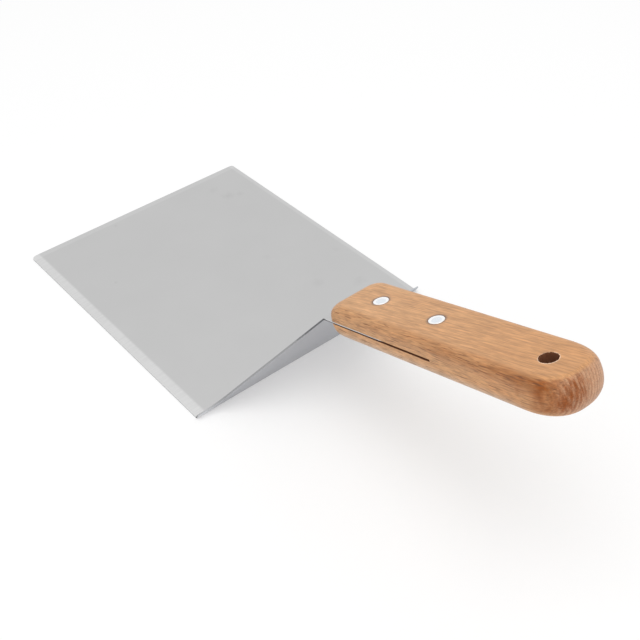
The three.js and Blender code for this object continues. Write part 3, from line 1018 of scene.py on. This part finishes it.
axes = add_node(tree, "SeparateXYZ", inputs={"Vector": handle_mm})
vein_distance = line_distance(tree, handle_mm, VEIN_PLACE, ROUND_THE_GRAIN)
vein = add_node(tree, "MapRange", SMOOTH, {
    "Value": vein_distance, "From Min": VEIN_CORE * VEIN_RADIUS, "From Max": VEIN_RADIUS,
    "To Min": 1.0, "To Max": 0.0,
})
vein_streaks = add_node(tree, "MapRange", inputs={
    "Value": grain["vein"], "From Min": NOISE_LOW, "From Max": NOISE_HIGH, "To Min": VEIN_GAPS, "To Max": 1.0,
})
vein_growth = add_node(tree, "MapRange", inputs={
    "Value": axes.outputs["X"], "From Min": VEIN_START, "From Max": VEIN_FULL,
    "To Min": VEIN_WEAK, "To Max": VEIN_STRONG,
})
for share in (vein_streaks, vein_growth):
    vein = add_node(tree, "Math", TIMES, {0: vein, 1: share})
print("beech masks: end grain and a vein of", VEIN_RADIUS, "mm")

# %% [markdown]
# ## Beech: figure and paler wood
#
# On the tail the vein ends in a brown figure, made of a few ragged spots that melt together. The wood is
# paler low on the sides, and warmer towards the tail.

# %% Masks of the figure and of pale and warm wood
# Brown figure on the tail: place along, across and up, radius and strength
FIGURE_SPOTS = [
    (119.5, -11, 0, 15.0, 0.72),
    (104, -13.5, 0, 20.0, 0.15),
    (124, -5.3, 1.8, 7.6, 0.9),
    (116.5, -12.7, 4.6, 5.0, 0.8),
    (122.5, -9.3, -0.8, 7.0, 0.9),
]
# The figure's upper and lower limit in mm over the middle plane, and the fade, turned round at the upper one
FIGURE_LIMITS = [(6.9, -0.25), (-5.0, 2.2)]
PALE_LOW, PALE_HIGH = -6.0, -1.0  # mm over the middle plane
PALE_FULL, PALE_END = 100.0, 114.0  # mm along the handle, where the pale wood ends
WARM_START, WARM_FULL = 30.0, 115.0  # mm along the handle

figure = 0.0
for *centre, radius, strength in FIGURE_SPOTS:
    spot = ragged_spot(tree, handle_mm, centre, radius, grain["figure"])
    spot = add_node(tree, "Math", TIMES, {0: spot, 1: strength})
    figure = add_node(tree, "Math", LARGER, {0: spot, 1: figure})
for level, fade in FIGURE_LIMITS:
    inside = add_node(tree, "MapRange", SMOOTH, {
        "Value": axes.outputs["Z"], "From Min": level - fade, "From Max": level + fade,
    })
    figure = add_node(tree, "Math", TIMES, {0: figure, 1: inside})

pale_low = add_node(tree, "MapRange", SMOOTH, {
    "Value": axes.outputs["Z"], "From Min": PALE_LOW, "From Max": PALE_HIGH, "To Min": 1.0, "To Max": 0.0,
})
before_tail = add_node(tree, "MapRange", SMOOTH, {
    "Value": axes.outputs["X"], "From Min": PALE_FULL, "From Max": PALE_END, "To Min": 1.0, "To Max": 0.0,
})
pale = add_node(tree, "Math", TIMES, {0: pale_low, 1: before_tail})
warm = add_node(tree, "MapRange", inputs={
    "Value": axes.outputs["X"], "From Min": WARM_START, "From Max": WARM_FULL,
})
print("beech masks: pale and warm wood, and a figure of", len(FIGURE_SPOTS), "spots")

# %% [markdown]
# ## Beech: round the holes
#
# Oil and metal have greyed the wood round the rivets. The hang hole has a painted highlight on one side of
# its rim, so that ring is a little off the hole's middle.

# %% Masks round the holes
HANG_HOLE_HIGHLIGHT = 0.25  # mm wide
HANG_HOLE_HIGHLIGHT_SHIFT = 0.75 * HANG_HOLE_HIGHLIGHT  # towards the tail and to the left
RIVET_STAIN = 1.2  # mm wide
ROUND_THE_HOLE = (1, 1, 0)

highlight_shift = HANG_HOLE_HIGHLIGHT_SHIFT * MM
hang_hole_reach = HANG_HOLE_DIAMETER / 2 + HANG_HOLE_CHAMFER
rivet_reach = head_radius + RIVET_HEAD_GAP
rims = []
# the first ring is the painted highlight on the hang hole's rim, the others are the stains round the rivets
for along, across, reach, width in (
    (hang_hole + highlight_shift, -highlight_shift, hang_hole_reach, HANG_HOLE_HIGHLIGHT),
    (rivet_places[0], 0, rivet_reach, RIVET_STAIN),
    (rivet_places[1], 0, rivet_reach, RIVET_STAIN),
):
    distance = line_distance(tree, handle_mm, (along / MM, across / MM, 0), ROUND_THE_HOLE)
    rims.append(add_node(tree, "MapRange", SMOOTH, {
        "Value": distance, "From Min": reach / MM, "From Max": reach / MM + width,
        "To Min": 1.0, "To Max": 0.0,
    }))
hang_hole_highlight, *rivet_stains = rims
print("beech has a pale rim and", len(rivet_stains), "rivet stains")

# %% [markdown]
# ## Beech: rings and flecks
#
# The rings are faint along the grain and clear on the end grain, and they change from patch to patch. Beech
# also has small dark flecks. They show on the handle's sides and in the vein, and hardly at all on top.

# %% Rings and flecks of the beech
RING_FAINT, RING_CLEAR = 0.14, 0.55  # along the grain and on the end grain
RING_WEAK, RING_STRONG = 0.45, 1.25  # from patch to patch
FLECK_START, FLECK_FULL = 0.6, 0.7  # the part of their noise that makes flecks
FLECKS_IN_VEIN = 0.5
FLECKS_ON_TOP, FLECKS_ON_SIDES = 0.1, 0.7
SIDE_START, SIDE_FULL = 0.1, 0.7  # how far a face looks sideways

ring_depth = add_node(tree, "MapRange", inputs={
    "Value": end_grain, "To Min": RING_FAINT, "To Max": RING_CLEAR,
})
ring_strength = add_node(tree, "MapRange", inputs={
    "Value": grain["patches"], "From Min": NOISE_LOW, "From Max": NOISE_HIGH,
    "To Min": RING_WEAK, "To Max": RING_STRONG,
})
rings = ring_line
for share in (ring_depth, ring_strength):
    rings = add_node(tree, "Math", TIMES_CLAMPED, {0: rings, 1: share})

facing = add_node(tree, "SeparateXYZ", inputs={"Vector": surface.outputs["Normal"]})
sideways = add_node(tree, "Math", {"operation": "ABSOLUTE"}, {0: facing.outputs["Y"]})
fleck_share = add_node(tree, "MapRange", SMOOTH, {
    "Value": sideways, "From Min": SIDE_START, "From Max": SIDE_FULL,
    "To Min": FLECKS_ON_TOP, "To Max": FLECKS_ON_SIDES,
})
fleck_spots = add_node(tree, "MapRange", SMOOTH, {
    "Value": grain["flecks"], "From Min": FLECK_START, "From Max": FLECK_FULL,
})
fleck_zone = add_node(tree, "Math", TIMES_PLUS, {0: vein, 1: FLECKS_IN_VEIN, 2: fleck_share})
flecks = add_node(tree, "Math", TIMES_CLAMPED, {0: fleck_spots, 1: fleck_zone})
print("beech rings take", RING_FAINT, "along the grain and", RING_CLEAR, "on the end grain")

# %% [markdown]
# ## Beech: colours
#
# The colours go one over the other, each by the share of its mask. Fibres and a fine mottle then darken and
# lighten all of them a little. Oiled and sanded wood is neither matt nor shiny, and its fibres can just be
# felt. The brown figure drinks more oil than the rest, so less of it stays on top and it shines less.

# %% Colours of the beech
BEECH_LIGHT = "#D3A373"
BEECH_MIDDLE = "#C38F61"
BEECH_PALE = "#C4AA92"
BEECH_WARM = "#C38750"
BEECH_END_AND_SHEEN = "#C69A7A"
BEECH_VEIN = "#9E6432"
BEECH_RING = "#9A5C30"
BEECH_FIGURE = "#8A4306"
BEECH_FLECK = "#7A4A28"
BEECH_RIM_HIGHLIGHT = "#EBC8A8"
BEECH_STAIN = "#655852"
BEECH_ROUGHNESS = 0.45
BEECH_SHINE, FIGURE_SHINE = 0.5, 0.2
FINE_LOW, FINE_HIGH = 0.25, 0.75
FINE_DEPTHS = {"fibres": 0.3, "mottle": 0.12}
FIBRE_HEIGHT = 0.1 * MM
FIBRE_BUMP = 0.25

colour = add_node(tree, "Mix", OVER, {
    SHARE: grain["patches"], BELOW: linear(BEECH_MIDDLE), ABOVE: linear(BEECH_LIGHT),
})
layers = [  # mask, strength and tint, from the lowest to the top one
    (warm, 0.45, BEECH_WARM),
    (pale, 0.75, BEECH_PALE),
    # end grain: its own redder colour together with a painted sheen
    (end_grain, 0.8, BEECH_END_AND_SHEEN),
    (vein, 1.0, BEECH_VEIN),
    (rings, 1.0, BEECH_RING),
    (figure, 1.0, BEECH_FIGURE),
    (flecks, 1.0, BEECH_FLECK),
    # painted highlight on the hang hole's rim
    (hang_hole_highlight, 0.8, BEECH_RIM_HIGHLIGHT),
    (rivet_stains[0], 0.65, BEECH_STAIN),
    (rivet_stains[1], 0.65, BEECH_STAIN),
]
for mask, strength, tint in layers:
    share = add_node(tree, "Math", TIMES_CLAMPED, {0: mask, 1: strength})
    colour = add_node(tree, "Mix", OVER, {SHARE: share, BELOW: colour, ABOVE: linear(tint)})
for name, depth in FINE_DEPTHS.items():
    tone = add_node(tree, "MapRange", inputs={
        "Value": grain[name], "From Min": FINE_LOW, "From Max": FINE_HIGH,
        "To Min": 1 - depth, "To Max": 1 + depth,
    })
    colour = add_node(tree, "Mix", TINTED, {SHARE: 1.0, BELOW: colour, ABOVE: tone})
bump = add_node(tree, "Bump", inputs={
    "Height": grain["fibres"], "Strength": FIBRE_BUMP, "Distance": FIBRE_HEIGHT,
})
shine = add_node(tree, "MapRange", inputs={"Value": figure, "To Min": BEECH_SHINE, "To Max": FIGURE_SHINE})
set_inputs(tree, shader, {
    "Base Color": colour, "Normal": bump, "Specular IOR Level": shine, "Roughness": BEECH_ROUGHNESS,
})
print("beech has", len(tree.nodes), "nodes and", len(layers), "layers of colour")

# %% [markdown]
# ## Cut wood and aluminium
#
# Inside the hole and the slot the wood is painted dark brown: painted shade of these narrow recesses, over
# the cut wood. The rivets are soft aluminium, pressed until they shine.

# %% Drilled wood and rivet metal
# painted shade inside the hole and the slot
CUT_SHADE_DEEP = "#6A3A20"
CUT_SHADE_PALE = "#8A5A3A"
CUT_ROUGHNESS = 0.85
CUTS_PER_MM = 1.2
RIM_WHITE = "#FAFAFA"
# painted reflection: the dish is tinted a darker, cooler blue-grey than the rim
DISH_REFLECTION_BLUE = "#E6EBF0"
PRESS_MARKS_PER_MM = 1.5
SHINY, LESS_SHINY = 0.22, 0.36  # roughness of the rivets

tree, shader, in_mm = start_finish(shaded_cut_beech)
torn = add_node(tree, "TexNoise", inputs={"Vector": in_mm, "Scale": CUTS_PER_MM, "Detail": 4.0})
colour = add_node(tree, "Mix", OVER, {SHARE: torn, BELOW: linear(CUT_SHADE_DEEP), ABOVE: linear(CUT_SHADE_PALE)})
set_inputs(tree, shader, {"Base Color": colour, "Roughness": CUT_ROUGHNESS})

for metal, white in ((rim_metal, RIM_WHITE), (dish_metal_painted_reflection, DISH_REFLECTION_BLUE)):
    tree, shader, in_mm = start_finish(metal)
    pressed = add_node(tree, "TexNoise", inputs={"Vector": in_mm, "Scale": PRESS_MARKS_PER_MM, "Detail": 2.0})
    gloss = add_node(tree, "MapRange", inputs={"Value": pressed, "To Min": SHINY, "To Max": LESS_SHINY})
    set_inputs(tree, shader, {"Base Color": linear(white), "Metallic": 1.0, "Roughness": gloss})
print("cut wood and aluminium are done")

# %% [markdown]
# ## Studio: table
#
# The spatula lies on a white table under one large soft lamp, in a white room. The table is a real surface,
# so it keeps a soft shadow and the underside of the wall mirrors that shadow. Far off it fades into the white
# of the room, so no horizon shows.

# %% Table
TABLE_WHITE = "#FCFCFC"
TABLE_GLOW = 0.3  # share of plain white that the camera and reflections see in the table
FADE_START, FADE_END = 400, 1600  # mm from the middle, where the table fades into plain white
TABLE_RADIUS = 6.0
TABLE_SIDES = 96
WHITE = (1, 1, 1, 1)
TABLE_DROP = 0.05 * MM  # under the blade, so that the two don't flicker into each other


def rays_that_see(tree):
    """One for camera rays, reflections and what shows through glass, and nought for lighting."""
    path = add_node(tree, "LightPath")
    share = path.outputs["Is Camera Ray"]
    for kind in ("Is Glossy Ray", "Is Transmission Ray"):
        share = add_node(tree, "Math", LARGER, {0: share, 1: path.outputs[kind]})
    return share


table_paint = bpy.data.materials.new("matte_white_table")
tree, shader, in_mm = start_finish(table_paint)
set_inputs(tree, shader, {"Base Color": linear(TABLE_WHITE), "Roughness": 1.0, "Specular IOR Level": 0.0})
glow = add_node(tree, "Emission", inputs={"Color": WHITE, "Strength": 1.0})
far_off = add_node(tree, "VectorMath", LENGTH, {0: in_mm})
fade = add_node(tree, "MapRange", SMOOTH, {
    "Value": far_off, "From Min": FADE_START, "From Max": FADE_END, "To Min": TABLE_GLOW, "To Max": 1.0,
})
glow_share = add_node(tree, "Math", TIMES, {0: rays_that_see(tree), 1: fade})
lit = add_node(tree, "MixShader", inputs={0: glow_share, 1: shader, 2: glow})
set_inputs(tree, tree.nodes["Material Output"], {"Surface": lit})
bpy.ops.mesh.primitive_circle_add(
    vertices=TABLE_SIDES, radius=TABLE_RADIUS, fill_type="NGON", location=(0, 0, -TABLE_DROP)
)
table = bpy.context.object
table.name = "table"
table.data.materials.append(table_paint)
print("table is", 2 * TABLE_RADIUS, "m across")

# %% [markdown]
# ## Studio: room and lamp
#
# The room is white for the camera and for reflections, and a little dimmer as a light, so that the lamp
# still gives form. The lamp is a square more than a metre wide, so its shadows have soft edges.

# %% Room and lamp
ROOM_LIGHT = 0.785
LAMP_PLACE = Vector((250, -150, 1400)) * MM
LAMP_AIM = Vector((70, 0, 30)) * MM
LAMP_SIZE = 1200 * MM
LAMP_POWER = 6.75

room = bpy.data.worlds.new("white_room")
bpy.context.scene.world = room
room.use_nodes = True
tree = room.node_tree
tree.nodes.clear()
lighting = add_node(tree, "Background", inputs={"Color": WHITE, "Strength": ROOM_LIGHT})
shown = add_node(tree, "Background", inputs={"Color": WHITE, "Strength": 1.0})
mixed = add_node(tree, "MixShader", inputs={0: rays_that_see(tree), 1: lighting, 2: shown})
add_node(tree, "OutputWorld", inputs={"Surface": mixed})

lamp_data = bpy.data.lights.new("soft_lamp", "AREA")
lamp_data.size = LAMP_SIZE
lamp_data.energy = LAMP_POWER
lamp = bpy.data.objects.new("soft_lamp", lamp_data)
bpy.context.scene.collection.objects.link(lamp)
lamp.location = LAMP_PLACE
lamp.rotation_euler = (LAMP_AIM - LAMP_PLACE).to_track_quat("-Z", "Y").to_euler()
bpy.context.scene.view_settings.view_transform = "Standard"
print("studio ready")

# %% [markdown]
# ## Back to the frame
#
# Every new piece stands for its node of the imported model and rides on the one rigid body.

# %% Hand the pieces to the frame
pieces = {"blade": (blade, "steel"), "handle": (handle, "beech")}
for node, rivet in rivets.items():
    pieces[node] = (rivet, "aluminium")
for node, (piece, slot_name) in pieces.items():
    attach(piece, "root")
    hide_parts(node)
